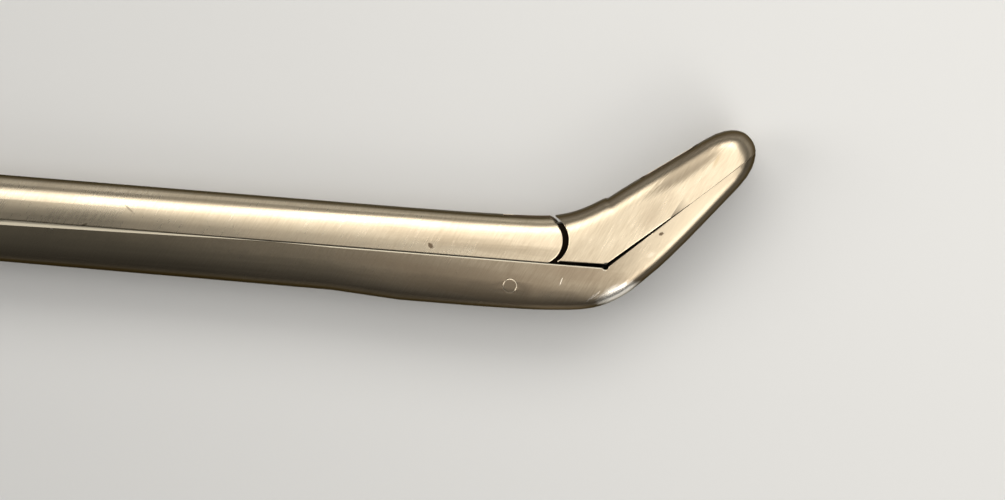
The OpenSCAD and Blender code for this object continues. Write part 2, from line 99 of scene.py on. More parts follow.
@dataclass(frozen=True)
class PhotoView:
    """The camera of the photograph, and how its pixels lie on the forceps.

    Attributes:
        centre: The point of the forceps in the middle of the picture.
        width: How much of the forceps the picture's width takes in.
        pixels: Width and height of the picture in pixels.
        roll_deg: How far the shaft falls to the right in the picture.
        elevation_deg: How steeply the camera looks down on the forceps' side.
        distance: How far the camera is away: the lens is long.
    """

    centre: tuple[float, float, float] = (105.47 * MM, 6.95 * MM, 2.8 * MM)
    width: float = 62.8125 * MM
    pixels: tuple[int, int] = (1005, 500)
    roll_deg: float = 4.57
    elevation_deg: float = 85.0
    distance: float = 0.6

    def axes(self) -> tuple[Vector, Vector, Vector]:
        """Works out the camera's right, up and backward directions.

        Returns:
            Three unit vectors in the row frame.
        """
        tilt = math.radians(self.elevation_deg)
        back = Vector((0.0, math.cos(tilt), math.sin(tilt)))
        turn = Matrix.Rotation(math.radians(self.roll_deg), 3, back)
        right = turn @ Vector((1.0, 0.0, 0.0))
        return right, back.cross(right), back

    def point_at(self, column: float, row: float) -> Vector:
        """Finds the point of the mid-plane that a pixel of the photograph shows.

        Args:
            column: Pixels from the left edge.
            row: Pixels from the top edge.

        Returns:
            The point in the row frame.
        """
        right, up, _ = self.axes()
        scale = self.width / self.pixels[0]
        across = (column - self.pixels[0] / 2) * scale
        above = (self.pixels[1] / 2 - row) * scale
        return Vector(self.centre) + across * right + above * up

    def place(self) -> None:
        """Makes the scene's camera."""
        data = bpy.data.cameras.new("photo_camera")
        data.sensor_width = 36.0
        data.lens = data.sensor_width * self.distance / self.width
        data.clip_start, data.clip_end = 0.01, 10.0
        camera = bpy.data.objects.new("photo_camera", data)
        right, up, back = self.axes()
        turn = Matrix((right, up, back)).transposed()
        spot = Vector(self.centre) + self.distance * back
        camera.matrix_world = Matrix.Translation(spot) @ turn.to_4x4()
        bpy.context.scene.collection.objects.link(camera)
        bpy.context.scene.camera = camera


VIEW = PhotoView()


class Lay(Enum):
    """The way in which the last wheel or belt ran over a surface."""

    SLANTED = "slanted over the side of the forceps"
    ROUND = "round the axis of a pin or a screw"
    EVEN = "no direction, as after blasting"


@dataclass(frozen=True)
class Spot:
    """A stain, a pit, a scratch, a soft change of tone, a painted highlight or a painted shade
    on the side that the photo shows.

    Attributes:
        column: Its pixel column in the photograph.
        row: Its pixel row in the photograph.
        length: Its length.
        width: Its width.
        lean_deg: The angle of its length to the shaft.
        colour: Its colour as sRGB hex.
        strength: How strongly it covers the finish, from 0 to 1.
        roughness: How rough the metal is there.
        depth: How far it is sunk, or proud where the value is negative.
        soft: How gradually it starts: 0.1 is a clear edge, 0.9 a slow one.
        strokes: Length and width of the strokes that break it up, where it is drawn by them.
        stroke_deg: The angle of these strokes to the shaft.
    """

    column: float
    row: float
    length: float
    width: float
    lean_deg: float
    colour: str
    strength: float = 1.0
    roughness: float = 0.5
    depth: float = 0.0
    soft: float = 0.3
    strokes: tuple[float, float] | None = None
    stroke_deg: float = 64.0

    def mask(self, tree: Tree, place: Socket) -> Socket:
        """Draws the spot with its ragged edge, on the upper side only.

        Args:
            tree: The material's node tree.
            place: The object coordinates.

        Returns:
            A value that is 0 outside the spot and its strength inside.
        """
        middle = VIEW.point_at(self.column, self.row)
        local = add_node(tree, "ShaderNodeMapping",
                         {"Vector": place, "Location": (middle.x, middle.y, 0.0),
                          "Rotation": (0.0, 0.0, math.radians(self.lean_deg)),
                          "Scale": (self.length / 2, self.width / 2, 1.0)},
                         vector_type="TEXTURE").outputs["Vector"]
        away = add_node(tree, "ShaderNodeVectorMath", {0: local},
                        operation="LENGTH").outputs["Value"]
        long, wide = self.strokes or (self.length / 3, self.width / 3)
        turn = self.stroke_deg if self.strokes else self.lean_deg
        grain = add_node(tree, "ShaderNodeMapping",
                         {"Vector": place, "Rotation": (0.0, 0.0, math.radians(turn)),
                          "Scale": (long, wide, 1.0)}, vector_type="TEXTURE")
        ragged = add_node(tree, "ShaderNodeTexNoise",
                          {"Vector": grain.outputs["Vector"], "Scale": 1.0, "Detail": 4.0,
                           "Roughness": 0.65}).outputs["Fac"]
        edge = add_node(tree, "ShaderNodeMath", {0: ragged, 1: 1.4, 2: away},
                        operation="MULTIPLY_ADD").outputs[0]
        inside = add_node(tree, "ShaderNodeMapRange",
                          {"Value": edge, "From Min": 1.7 + self.soft,
                           "From Max": 1.7 - self.soft, "To Min": 0.0,
                           "To Max": self.strength}, interpolation_type="SMOOTHSTEP")
        height = add_node(tree, "ShaderNodeSeparateXYZ", {0: place}).outputs["Z"]
        upper = add_node(tree, "ShaderNodeMath", {0: height, 1: VIEW.centre[2]},
                         operation="GREATER_THAN").outputs[0]
        return add_node(tree, "ShaderNodeMath", {0: inside.outputs["Result"], 1: upper},
                        operation="MULTIPLY").outputs[0]


@dataclass(frozen=True)
class Finish:
    """What every finish has: a name, and a way to be made once and shared.

    Attributes:
        name: The material's name.
    """

    name: str

    def build(self) -> bpy.types.Material:
        """Makes the material, or finds it if another piece has made it.

        Returns:
            The material.
        """
        found = bpy.data.materials.get(self.name)
        if found:
            return found
        material = bpy.data.materials.new(self.name)
        material.use_nodes = True
        material.node_tree.nodes.clear()
        shader = self.shade(material.node_tree)
        add_node(material.node_tree, "ShaderNodeOutputMaterial", {"Surface": shader})
        return material

    def shade(self, tree: Tree) -> Socket:
        """Builds the finish's nodes and gives their shader output."""
        raise NotImplementedError


@dataclass(frozen=True)
class PlainFinish(Finish):
    """An even surface.

    Attributes:
        colour: Its colour as sRGB hex.
        metallic: 1 for bare metal, 0 for anything else.
        roughness: Its roughness.
    """

    colour: str = "#808080"
    metallic: float = 0.0
    roughness: float = 0.9

    def shade(self, tree: Tree) -> Socket:
        """Builds the finish's nodes and gives their shader output."""
        return add_node(tree, "ShaderNodeBsdfPrincipled",
                        {"Base Color": linear(self.colour), "Metallic": self.metallic,
                         "Roughness": self.roughness}).outputs["BSDF"]


@dataclass(frozen=True)
class GroundSteel(Finish):
    """Hardened stainless steel, ground and then brushed to a satin.

    Attributes:
        pale: Its colour where the brushing is fresh, as sRGB hex.
        dull: Its colour where it is handled and stained, as sRGB hex.
        roughness: Its typical roughness.
        lay: The way that the wheel ran.
        lean_deg: The angle of slanted marks to the shaft.
        axis: Where the axis of round marks stands.
        grit: Distance between two brush marks. The real ones lie about 0.03 mm apart, and
            they are drawn coarser so that they show.
        streak: Length of one brush mark.
        depth: Depth of the brush marks.
        round_shade_colour: Painted shade of the rounded crown and belly, as sRGB hex: a darker,
            browner colour that covers a surface the more it turns away from the flat side.
        edge_tint: Its colour seen at a flat angle, as sRGB hex. Bare steel keeps a thin
            brown oil film, which takes the glare off its outlines.
        tones: Wide, soft changes of tone on the flat side, some of them painted shade and
            painted highlight, which the painted shade of crown and belly covers.
        spots: The single stains, pits and scratches on it.
    """

    pale: str = "#e8dbc3"
    dull: str = "#cdbda3"
    roughness: float = 0.3
    lay: Lay = Lay.SLANTED
    lean_deg: float = 64.0
    axis: tuple[float, float] = (0.0, 0.0)
    grit: float = 0.09 * MM
    streak: float = 1.3 * MM
    depth: float = 0.004 * MM
    round_shade_colour: str = "#5f5548"
    edge_tint: str = "#a09a8e"
    tones: tuple[Spot, ...] = ()
    spots: tuple[Spot, ...] = ()

    def shade(self, tree: Tree) -> Socket:
        """Builds the finish's nodes and gives their shader output."""
        place = add_node(tree, "ShaderNodeTexCoord").outputs["Object"]
        brushed = self.brush_marks(tree, place)
        cloud = add_node(tree, "ShaderNodeTexNoise",
                         {"Vector": place, "Scale": 1 / (5 * MM), "Detail": 4.0,
                          "Roughness": 0.6}).outputs["Fac"]
        tone = add_node(tree, "ShaderNodeMix", {0: 0.4, 2: brushed, 3: cloud}).outputs[0]
        fresh = add_node(tree, "ShaderNodeMapRange",
                         {"Value": tone, "From Min": 0.34, "From Max": 0.64}).outputs["Result"]
        colour = add_node(tree, "ShaderNodeMix", {0: fresh, 6: linear(self.dull),
                                                  7: linear(self.pale)},
                          data_type="RGBA").outputs[2]
        rough = add_node(tree, "ShaderNodeMapRange",
                         {"Value": tone, "From Min": 0.3, "From Max": 0.7,
                          "To Min": self.roughness + 0.08,
                          "To Max": self.roughness - 0.08}).outputs["Result"]
        height = add_node(tree, "ShaderNodeMath", {0: brushed, 1: self.depth},
                          operation="MULTIPLY").outputs[0]
        for tone_spot in self.tones:
            mask = tone_spot.mask(tree, place)
            colour = self.blend(tree, mask, colour, tone_spot.colour)
        # Painted shade: crown and belly take a darker colour the more their surface turns from
        # the flat side
        turned = add_node(tree, "ShaderNodeAttribute", attribute_name=ROUND_SHADE,
                          attribute_type="GEOMETRY").outputs["Fac"]
        colour = self.blend(tree, turned, colour, self.round_shade_colour)
        for spot in self.spots:
            mask = spot.mask(tree, place)
            colour = self.blend(tree, mask, colour, spot.colour)
            rough = add_node(tree, "ShaderNodeMix",
                             {0: mask, 2: rough, 3: spot.roughness}).outputs[0]
            if spot.depth:
                height = add_node(tree, "ShaderNodeMath", {0: mask, 1: -spot.depth, 2: height},
                                  operation="MULTIPLY_ADD").outputs[0]
        bump = add_node(tree, "ShaderNodeBump",
                        {"Height": height, "Distance": 1.0, "Strength": 1.0})
        shader = add_node(tree, "ShaderNodeBsdfPrincipled",
                          {"Base Color": linear(self.pale), "Metallic": 1.0,
                           "Roughness": self.roughness,
                           "Specular Tint": linear(self.edge_tint),
                           "Normal": bump.outputs["Normal"]})
        tree.links.new(colour, shader.inputs["Base Color"])
        tree.links.new(rough, shader.inputs["Roughness"])
        return shader.outputs["BSDF"]

    @staticmethod
    def blend(tree: Tree, mask: Socket, under: Socket, over: str) -> Socket:
        """Lays a colour over another where a mask says so.

        Args:
            tree: The material's node tree.
            mask: How much of the upper colour shows, from 0 to 1.
            under: The lower colour.
            over: The upper colour as sRGB hex.

        Returns:
            The mixed colour.
        """
        return add_node(tree, "ShaderNodeMix", {0: mask, 6: under, 7: linear(over)},
                        data_type="RGBA").outputs[2]

    def brush_marks(self, tree: Tree, place: Socket) -> Socket:
        """Draws fine marks that run the way of the lay, with a weaker crossing set.

        Args:
            tree: The material's node tree.
            place: The object coordinates.

        Returns:
            A value from about 0 to 1, low in the marks.
        """
        layers = [self.one_layer(tree, place, self.lean_deg, 1.0),
                  self.one_layer(tree, place, self.lean_deg - 19, 1.6)]
        return add_node(tree, "ShaderNodeMix", {0: 0.3, 2: layers[0], 3: layers[1]}).outputs[0]

    def one_layer(self, tree: Tree, place: Socket, lean_deg: float, size: float) -> Socket:
        """Draws one set of brush marks.

        Args:
            tree: The material's node tree.
            place: The object coordinates.
            lean_deg: The angle of the marks to the shaft, where they are slanted.
            size: How much larger they are than the finest set.

        Returns:
            A noise value from 0 to 1.
        """
        grit, streak = self.grit * size, self.streak * size
        if self.lay is Lay.ROUND:
            centred = add_node(tree, "ShaderNodeMapping",
                               {"Vector": place, "Location": (*self.axis, 0.0)},
                               vector_type="TEXTURE").outputs["Vector"]
            parts = add_node(tree, "ShaderNodeSeparateXYZ", {0: centred})
            flat = add_node(tree, "ShaderNodeCombineXYZ",
                            {0: parts.outputs["X"], 1: parts.outputs["Y"]}).outputs[0]
            radius = add_node(tree, "ShaderNodeVectorMath", {0: flat},
                              operation="LENGTH").outputs["Value"]
            place = add_node(tree, "ShaderNodeCombineXYZ",
                             {0: radius, 1: parts.outputs["Z"]}).outputs[0]
            spread = (grit, grit, 1.0)
        elif self.lay is Lay.SLANTED:
            spread = (streak, grit, 8 * grit)
        else:
            spread = (2 * grit, 2 * grit, 2 * grit)
        turned = add_node(tree, "ShaderNodeMapping",
                          {"Vector": place, "Scale": spread,
                           "Rotation": (0.0, 0.0, self.turn_of(lean_deg))},
                          vector_type="TEXTURE").outputs["Vector"]
        return add_node(tree, "ShaderNodeTexNoise",
                        {"Vector": turned, "Scale": 1.0, "Detail": 3.0,
                         "Roughness": 0.62}).outputs["Fac"]

    def turn_of(self, lean_deg: float) -> float:
        """Gives the turn of the marks in radians, which only slanted ones have."""
        return math.radians(lean_deg) if self.lay is Lay.SLANTED else 0.0


# Single marks that the photograph shows: brown spots, small pits, nicks and scratches, the
# burnished place under the bend with its painted highlight, and the rough strokes of the wheel
# along the crown
BROWN_BAND = Spot(470, 276, 13 * MM, 1.5 * MM, -5, "#8f7f6b", 0.6, soft=0.7)
SLIDE_SPOTS = (
    Spot(431, 243, 0.42 * MM, 0.26 * MM, -50, "#5d4a35", 0.85, depth=0.002 * MM),
    Spot(131, 207, 0.75 * MM, 0.12 * MM, -38, "#8d8272", 0.7, 0.45),
    Spot(86, 222, 0.45 * MM, 0.14 * MM, 20, "#4f493d", 0.9),
)
SLIDE_TONES_AND_SHADE = (
    Spot(470, 240, 9 * MM, 0.8 * MM, -3, "#a8967e", 0.4, soft=0.6),
    # Painted shade: the left end of the slide is painted darker
    Spot(10, 206, 22 * MM, 2.4 * MM, -4, "#9c9483", 0.6, soft=0.9),
)
LOWER_TONES_AND_PAINTED_LIGHT = (
    # Painted highlight: the far end of the lower jaw is painted paler
    Spot(694, 208, 9.5 * MM, 3.4 * MM, 42, "#e0d2b9", 0.8, soft=0.9),
    # Painted shade: the left end of the lower bar is painted darker
    Spot(40, 238, 34 * MM, 6 * MM, -4, "#6b6657", 0.7, soft=0.9),
    Spot(575, 268, 5 * MM, 1.4 * MM, 0, "#9b8a75", 0.5, soft=0.7),
    BROWN_BAND,
)
LOWER_SPOTS = (
    Spot(661, 231, 0.3 * MM, 0.18 * MM, 30, "#5f4d3a", 0.85, depth=0.002 * MM),
    Spot(651, 252, 0.5 * MM, 0.22 * MM, 40, "#efe4d0", 0.5, 0.3, soft=0.6),
    Spot(51, 224, 0.45 * MM, 0.13 * MM, -35, "#e9e2d2", 0.8, 0.3),
    Spot(561, 279, 0.5 * MM, 0.07 * MM, 75, "#fff6e4", 0.8, 0.2, -0.003 * MM),
    Spot(595, 293, 0.8 * MM, 0.08 * MM, 46, "#efe6d8", 0.8, 0.25, -0.003 * MM),
    Spot(590, 296, 0.6 * MM, 0.06 * MM, 50, "#efe6d8", 0.7, 0.25, -0.003 * MM),
    # Painted highlight: the burnished place under the bend is smoother, and also painted near
    # white
    Spot(618, 291, 2.3 * MM, 0.85 * MM, 27, "#fdf9f0", 0.95, 0.24, soft=0.5,
         strokes=(0.9 * MM, 0.15 * MM), stroke_deg=40),
    Spot(492, 294, 13 * MM, 0.7 * MM, -5, "#94846e", 0.55, 0.34, soft=0.8),
)
BEAK_TONES = (Spot(652, 211, 2.6 * MM, 1.1 * MM, 52, "#a3927c", 0.4, soft=0.9),)
BEAK_SPOTS = (
    Spot(686, 166, 5.4 * MM, 1.0 * MM, 38, "#5f5242", 0.62, 0.44, 0.002 * MM, 0.42,
         (1.1 * MM, 0.08 * MM), 50),
    Spot(716, 158, 0.8 * MM, 0.2 * MM, 70, "#c9b592", 0.6, 0.3, soft=0.5),
)

# Slide and beak: martensitic stainless steel, ground by hand on a fine belt, which leaves a
# soft warm sheen with slanted hairlines. The darker colour on crown and belly is painted shade.
# The lower bar is ground the same way, and its darker colours are painted shade
SLIDE_STEEL = GroundSteel("belt_ground_stainless_slide", round_shade_colour="#4d463a",
                          tones=SLIDE_TONES_AND_SHADE, spots=SLIDE_SPOTS)
BEAK_STEEL = GroundSteel("belt_ground_stainless_beak", tones=BEAK_TONES, spots=BEAK_SPOTS)
LOWER_SHADED_STEEL = GroundSteel("belt_ground_stainless_lower_bar_painted_shade", pale="#c0b29c", dull="#9c8e7a",
                          roughness=0.32, round_shade_colour="#4a4236", tones=LOWER_TONES_AND_PAINTED_LIGHT,
                          spots=LOWER_SPOTS)
# Pivot pin: drawn stainless wire, cut and then ground flush together with the lower bar. It
# takes the lower bar's darker colours, which are painted shade
FLUSH_STEEL = GroundSteel("drawn_stainless_pin_steel", pale="#c0b29c", dull="#9c8e7a",
                          roughness=0.32, tones=(BROWN_BAND,))
# Handles: the same steel, glass bead blasted and brushed over, so it is even and calm
HANDLE_STEEL = GroundSteel("satin_blasted_stainless_steel", pale="#c4b7a2", dull="#a2947e",
                           roughness=0.36, lay=Lay.EVEN, depth=0.003 * MM)
LEVER_STEEL = GroundSteel("turned_stainless_pin_steel", pale="#cfc5b6", dull="#a99e90",
                          roughness=0.27, lay=Lay.ROUND, axis=(1.0785 * MM, 7.9 * MM))
# Screw: turned stainless bar, so its head shows fine rings and a light polish
SCREW_STEEL = GroundSteel("turned_stainless_screw_steel", pale="#cbc3b8", dull="#a69d92",
                          roughness=0.24, lay=Lay.ROUND)
# Fork, cups and bite: milled and never ground, so they stay brown and dull. In cups and bite
# only faces that see little of their half space get it, so there it is painted shade as well
MILLED_AND_SHADED_STEEL = PlainFinish("milled_dull_steel_and_painted_shade", "#6a5e50", 1.0, 0.5)
# Ledge: painted highlight along the bevelled edge under the parting line: a pale colour, with a
# high roughness that catches light from all round
LEDGE_HIGHLIGHT_STEEL = PlainFinish("painted_highlight_steel_ledge", "#e9e4d6", 1.0, 0.85)
# Rim of the pivot pin: burnished when the pin was riveted, so it glints on its lit sides
RIM_STEEL = PlainFinish("burnished_rivet_rim_steel", "#ddd2bd", 1.0, 0.3)
# Gaps and hollows: painted shade. Faces that see little of their half space get a near black
# steel, so every narrow gap looks black
GAP_SHADE_STEEL = PlainFinish("painted_gap_shade_steel", "#2c241c", 1.0, 0.55)
# Floor: matt card, so pale and so plain that only the soft shadow shows on it
FLOOR_CARD = PlainFinish("matt_card_floor", "#d5d7d9")


@dataclass(frozen=True)
class Jaws:
    """The line along which the jaws close.

    Attributes:
        throat: Where the line starts, seen from the side.
        angle_deg: Its angle to the shaft.
        reach: How far from the throat the jaws touch.
        cups_from: How far from the throat the milled cups and rims begin.
        near: How close to the line an edge lies that belongs to the touching rims.
    """

    throat: tuple[float, float] = (112.0 * MM, 6.5 * MM)
    angle_deg: float = 41.9
    reach: tuple[float, float] = (3.2 * MM, 12.2 * MM)
    cups_from: float = 1.5 * MM
    near: float = 0.13 * MM

    def place_of(self, point: Vector) -> tuple[float, float]:
        """Gives how far a point lies along the line from the throat, and how far off it."""
        angle = math.radians(self.angle_deg)
        x, y = point.x - self.throat[0], point.y - self.throat[1]
        return (x * math.cos(angle) + y * math.sin(angle),
                y * math.cos(angle) - x * math.sin(angle))

    def on_rim(self, point: Vector) -> bool:
        """Tells whether a point lies where the two jaws all but touch."""
        along, off = self.place_of(point)
        return self.reach[0] < along < self.reach[1] and abs(off) < self.near

    def in_cups(self, point: Vector) -> bool:
        """Tells whether a point lies far enough out to belong to the cups and rims."""
        return self.place_of(point)[0] > self.cups_from


class Shelter:
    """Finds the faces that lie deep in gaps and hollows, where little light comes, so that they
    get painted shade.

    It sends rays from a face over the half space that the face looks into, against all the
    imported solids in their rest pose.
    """

    def __init__(self, rays: int = 32, reach: float = 6 * MM, start: float = 0.045 * MM) -> None:
        """Gathers the solids.

        Args:
            rays: How many rays go out from each face.
            reach: How far a ray looks.
            start: How far above a face its rays start, which clears the unbroken edges.
        """
        points: list[Vector] = []
        polygons: list[list[int]] = []
        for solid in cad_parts.values():
            first = len(points)
            points.extend(solid.matrix_world @ vertex.co for vertex in solid.data.vertices)
            polygons.extend([first + index for index in polygon.vertices]
                            for polygon in solid.data.polygons)
        self.tree = BVHTree.FromPolygons(points, polygons)
        self.reach = reach
        self.start = start
        golden = math.pi * (3 - math.sqrt(5))
        self.ways = [self.way(1 - (index + 0.5) / rays, golden * index)
                     for index in range(rays)]

    @staticmethod
    def way(height: float, turn: float) -> Vector:
        """Gives the direction at this height and turn on a unit half sphere."""
        flat = math.sqrt(1 - height * height)
        return Vector((flat * math.cos(turn), flat * math.sin(turn), height))

    def openness(self, point: Vector, normal: Vector) -> float:
        """Measures how much of its half space a face sees free.

        Args:
            point: The face's middle.
            normal: The face's outward direction.

        Returns:
            From 0 for a closed-in face to 1 for one in the open.
        """
        turn = Vector((0.0, 0.0, 1.0)).rotation_difference(normal)
        above = point + self.start * normal
        weight = free = 0.0
        for way in self.ways:
            weight += way.z
            if self.tree.ray_cast(above, turn @ way, self.reach)[0] is None:
                free += way.z
        return free / weight


@dataclass
class SteelPiece:
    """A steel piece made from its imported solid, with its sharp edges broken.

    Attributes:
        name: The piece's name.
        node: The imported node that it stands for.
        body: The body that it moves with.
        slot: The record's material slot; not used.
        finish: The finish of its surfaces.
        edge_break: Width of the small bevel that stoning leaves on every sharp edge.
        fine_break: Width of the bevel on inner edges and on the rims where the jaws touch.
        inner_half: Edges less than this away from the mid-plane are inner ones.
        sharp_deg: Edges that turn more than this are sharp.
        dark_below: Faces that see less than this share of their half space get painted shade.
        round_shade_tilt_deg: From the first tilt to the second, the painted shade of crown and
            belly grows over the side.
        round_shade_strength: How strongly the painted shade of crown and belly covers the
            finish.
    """

    name: str
    node: str
    body: str
    slot: str
    finish: GroundSteel
    edge_break: float = 0.06 * MM
    fine_break: float = 0.016 * MM
    inner_half: float = 1.25 * MM
    sharp_deg: float = 35.0
    dark_below: float = 0.35
    round_shade_tilt_deg: tuple[float, float] = (28.0, 64.0)
    round_shade_strength: float = 0.9

    def shape(self) -> bmesh.types.BMesh:
        """Welds a copy of the solid's mesh and stones its sharp edges.

        Returns:
            The shape, closed and with its normals outwards.
        """
        shape = bmesh.new()
        shape.from_mesh(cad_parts[self.node].data)
        bmesh.ops.remove_doubles(shape, verts=shape.verts, dist=0.0001 * MM)
        bmesh.ops.dissolve_degenerate(shape, edges=shape.edges, dist=0.00001 * MM)
        bmesh.ops.dissolve_limit(shape, verts=shape.verts, edges=shape.edges,
                                 angle_limit=math.radians(0.5))
        broken: dict[float, list[bmesh.types.BMEdge]] = {}
        for edge in shape.edges:
            if self.is_sharp(edge) and edge.is_convex and self.width_at(edge):
                broken.setdefault(self.width_at(edge), []).append(edge)
        stoned: set[bmesh.types.BMFace] = set()
        for width in sorted(broken, reverse=True):
            edges = [edge for edge in broken[width] if edge.is_valid]
            stoned |= self.stone(shape, edges, width)
        self.hold_inside(shape)
        self.crisp(shape, {face for face in stoned if face.is_valid})
        return shape

    def hold_inside(self, shape: bmesh.types.BMesh) -> None:
        """Brings points that a bevel pushed out of the solid's own box back to its sides."""
        solid = [vertex.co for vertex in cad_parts[self.node].data.vertices]
        for axis in range(3):
            places = [point[axis] for point in solid]
            low, high = min(places), max(places)
            for vertex in shape.verts:
                vertex.co[axis] = min(max(vertex.co[axis], low), high)

    def width_at(self, edge: bmesh.types.BMEdge) -> float:
        """Picks how much a sharp edge is broken.

        Args:
            edge: The edge.

        Returns:
            A small width on the inner edges and on the rims where the jaws touch.
        """
        ends = [vertex.co for vertex in edge.verts]
        inner = all(abs(end.z - VIEW.centre[2]) < self.inner_half for end in ends)
        return self.fine_break if inner or all(map(JAWS.on_rim, ends)) else self.edge_break

    def is_sharp(self, edge: bmesh.types.BMEdge) -> bool:
        """Tells whether an edge turns more than sharp_deg."""
        return edge.is_manifold and edge.calc_face_angle(0.0) > math.radians(self.sharp_deg)

    @staticmethod
    def stone(shape: bmesh.types.BMesh, edges: list[bmesh.types.BMEdge],
              width: float) -> set[bmesh.types.BMFace]:
        """Breaks edges with a small round bevel.

        Args:
            shape: The shape.
            edges: Its edges to break.
            width: How far the bevel reaches from the edge.

        Returns:
            The new faces.
        """
        made = bmesh.ops.bevel(shape, geom=edges, offset=width, offset_type="OFFSET",
                               segments=2, profile=0.5, affect="EDGES", clamp_overlap=False,
                               material=-1)
        return set(made["faces"])

    def crisp(self, shape: bmesh.types.BMesh, stoned: set[bmesh.types.BMFace]) -> None:
        """Smooths the shading, but keeps it flat up to every stoned edge, and notes how strongly
        the painted shade of crown and belly covers each point.

        Args:
            shape: The shape.
            stoned: The faces of its small bevels.
        """
        for face in shape.faces:
            face.smooth = True
        for edge in shape.edges:
            sides = {face in stoned for face in edge.link_faces}
            edge.smooth = len(sides) == 1 and not self.is_sharp(edge)
        # Painted shade of crown and belly, by how far the faces around each point turn from the
        # flat side
        turned = shape.verts.layers.float.new(ROUND_SHADE)
        for vertex in shape.verts:
            own = [face for face in vertex.link_faces if face not in stoned]
            if own:
                lean = sum((face.normal * face.calc_area() for face in own), Vector())
                vertex[turned] = self.round_shade_share(lean)

    def round_shade_share(self, lean: Vector) -> float:
        """Tells how strongly the painted shade of crown and belly covers a surface, by how far
        it has turned from the flat side.

        Args:
            lean: Its outward direction, of any length.

        Returns:
            0 on the flat side, 1 from round_shade_tilt_deg's upper end on.
        """
        if lean.length == 0.0:
            return 0.0
        tilt = math.degrees(math.acos(min(abs(lean.z) / lean.length, 1.0)))
        low, high = self.round_shade_tilt_deg
        share = min(max((tilt - low) / (high - low), 0.0), 1.0)
        return self.round_shade_strength * share * share * (3 - 2 * share)

    def materials(self) -> list[bpy.types.Material]:
        """Makes the piece's finish, the painted shade of the gaps and the milled colour of cups
        and bite.
        """
        return [self.finish.build(), GAP_SHADE_STEEL.build(), MILLED_AND_SHADED_STEEL.build()]

    def finish_of(self, face: bmesh.types.BMFace, open_share: float) -> int:
        """Picks the finish of a face.

        Args:
            face: The face.
            open_share: How much of its half space it sees free.

        Returns:
            The number of its material in the piece's list.
        """
        if open_share >= self.dark_below:
            return 0
        # Sheltered faces get painted shade: the milled colour in cups and bite, near black
        # elsewhere
        return 2 if JAWS.in_cups(face.calc_center_median()) else 1

    def build(self, shelter: Shelter) -> bpy.types.Object:
        """Makes the piece, puts it on its body and hides the solid that it stands for.

        Args:
            shelter: What tells the dark faces from the ones in the open.

        Returns:
            The finished object.
        """
        shape = self.shape()
        for face in shape.faces:
            open_share = shelter.openness(face.calc_center_median(), face.normal)
            face.material_index = self.finish_of(face, open_share)
        dark = sum(face.material_index == 1 for face in shape.faces)
        mesh = bpy.data.meshes.new(self.name)
        shape.to_mesh(mesh)
        shape.free()
        for material in self.materials():
            mesh.materials.append(material)
        made = bpy.data.objects.new(self.name, mesh)
        bpy.context.scene.collection.objects.link(made)
        flat = made.modifiers.new("flat_faces_stay_flat", "WEIGHTED_NORMAL")
        flat.keep_sharp = True
        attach(made, self.body)
        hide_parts(self.node)
        log.info("%s: %d faces, %d of them dark, on body %s", self.name,
                 len(mesh.polygons), dark, self.body)
        return made


@dataclass
class LowerHalf(SteelPiece):
    """Lower bar, fixed jaw, joint plate and thumb handle, forged in one piece.

    Attributes:
        handle_end: The blasted handle finish reaches this far along X.
        ledge: The bevelled edge of the parting line, with its painted highlight, lies between
            these heights along Y.
        ledge_end: It runs out to nothing here along X.
        root: Where the joint disc runs into the bar, on both sides of the screw.
        root_reach: Edges this close to a root run out too flat to be broken.
        disc_half: The joint disc is twice this thick.
        pivot: Where the pivot pin stands.
        bore: Edges this close to the pivot belong to its bore.
    """

    handle_end: float = 13 * MM
    ledge: tuple[float, float] = (6.1 * MM, 6.52 * MM)
    ledge_end: float = 91.5 * MM
    root: tuple[float, float] = (4.3 * MM, 4.05 * MM)
    root_reach: float = 1.3 * MM
    disc_half: float = 2.8 * MM
    pivot: tuple[float, float] = (106.11 * MM, 4.93 * MM)
    bore: float = 0.6 * MM

    def width_at(self, edge: bmesh.types.BMEdge) -> float:
        """Breaks the pivot's bore less, and leaves the ledge and the disc's roots crisp.

        Args:
            edge: The edge.

        Returns:
            The width of its bevel.
        """
        middle = (edge.verts[0].co + edge.verts[1].co) / 2
        to_root = math.hypot(abs(middle.x) - self.root[0], middle.y - self.root[1])
        on_ledge = (self.on_ledge(middle) and middle.x < self.ledge_end
                    and abs(middle.z - VIEW.centre[2]) > self.inner_half)
        if on_ledge or to_root < self.root_reach:
            return 0.0
        to_pivot = math.hypot(middle.x - self.pivot[0], middle.y - self.pivot[1])
        return self.fine_break if to_pivot < self.bore else super().width_at(edge)

    def crisp(self, shape: bmesh.types.BMesh, stoned: set[bmesh.types.BMFace]) -> None:
        """Keeps the joint disc's two faces flat in the shading, up to their borders.

        Args:
            shape: The shape.
            stoned: The faces of its small bevels.
        """
        super().crisp(shape, stoned)
        for edge in shape.edges:
            outs = [abs(vertex.co.z - VIEW.centre[2]) for vertex in edge.verts]
            if min(outs) > self.disc_half - 0.001 * MM:
                edge.smooth = False

    def on_ledge(self, point: Vector) -> bool:
        """Tells whether a point lies at the height of the ledge, behind the throat."""
        return self.ledge[0] < point.y < self.ledge[1] and point.x < JAWS.throat[0]

    def materials(self) -> list[bpy.types.Material]:
        """Makes the base ones, then the handle's finish and the ledge's painted highlight."""
        return [*super().materials(), HANDLE_STEEL.build(), LEDGE_HIGHLIGHT_STEEL.build()]

    def finish_of(self, face: bmesh.types.BMFace, open_share: float) -> int:
        """Sets the plate, the handle and the ledge with its painted highlight apart from the
        bar.
        """
        found = super().finish_of(face, open_share)
        middle = face.calc_center_median()
        if found == 0 and middle.x < self.handle_end:
            return 3
        slanted = face.normal.y > 0.3 and abs(face.normal.z) > 0.1
        return 4 if slanted and self.on_ledge(middle) else found


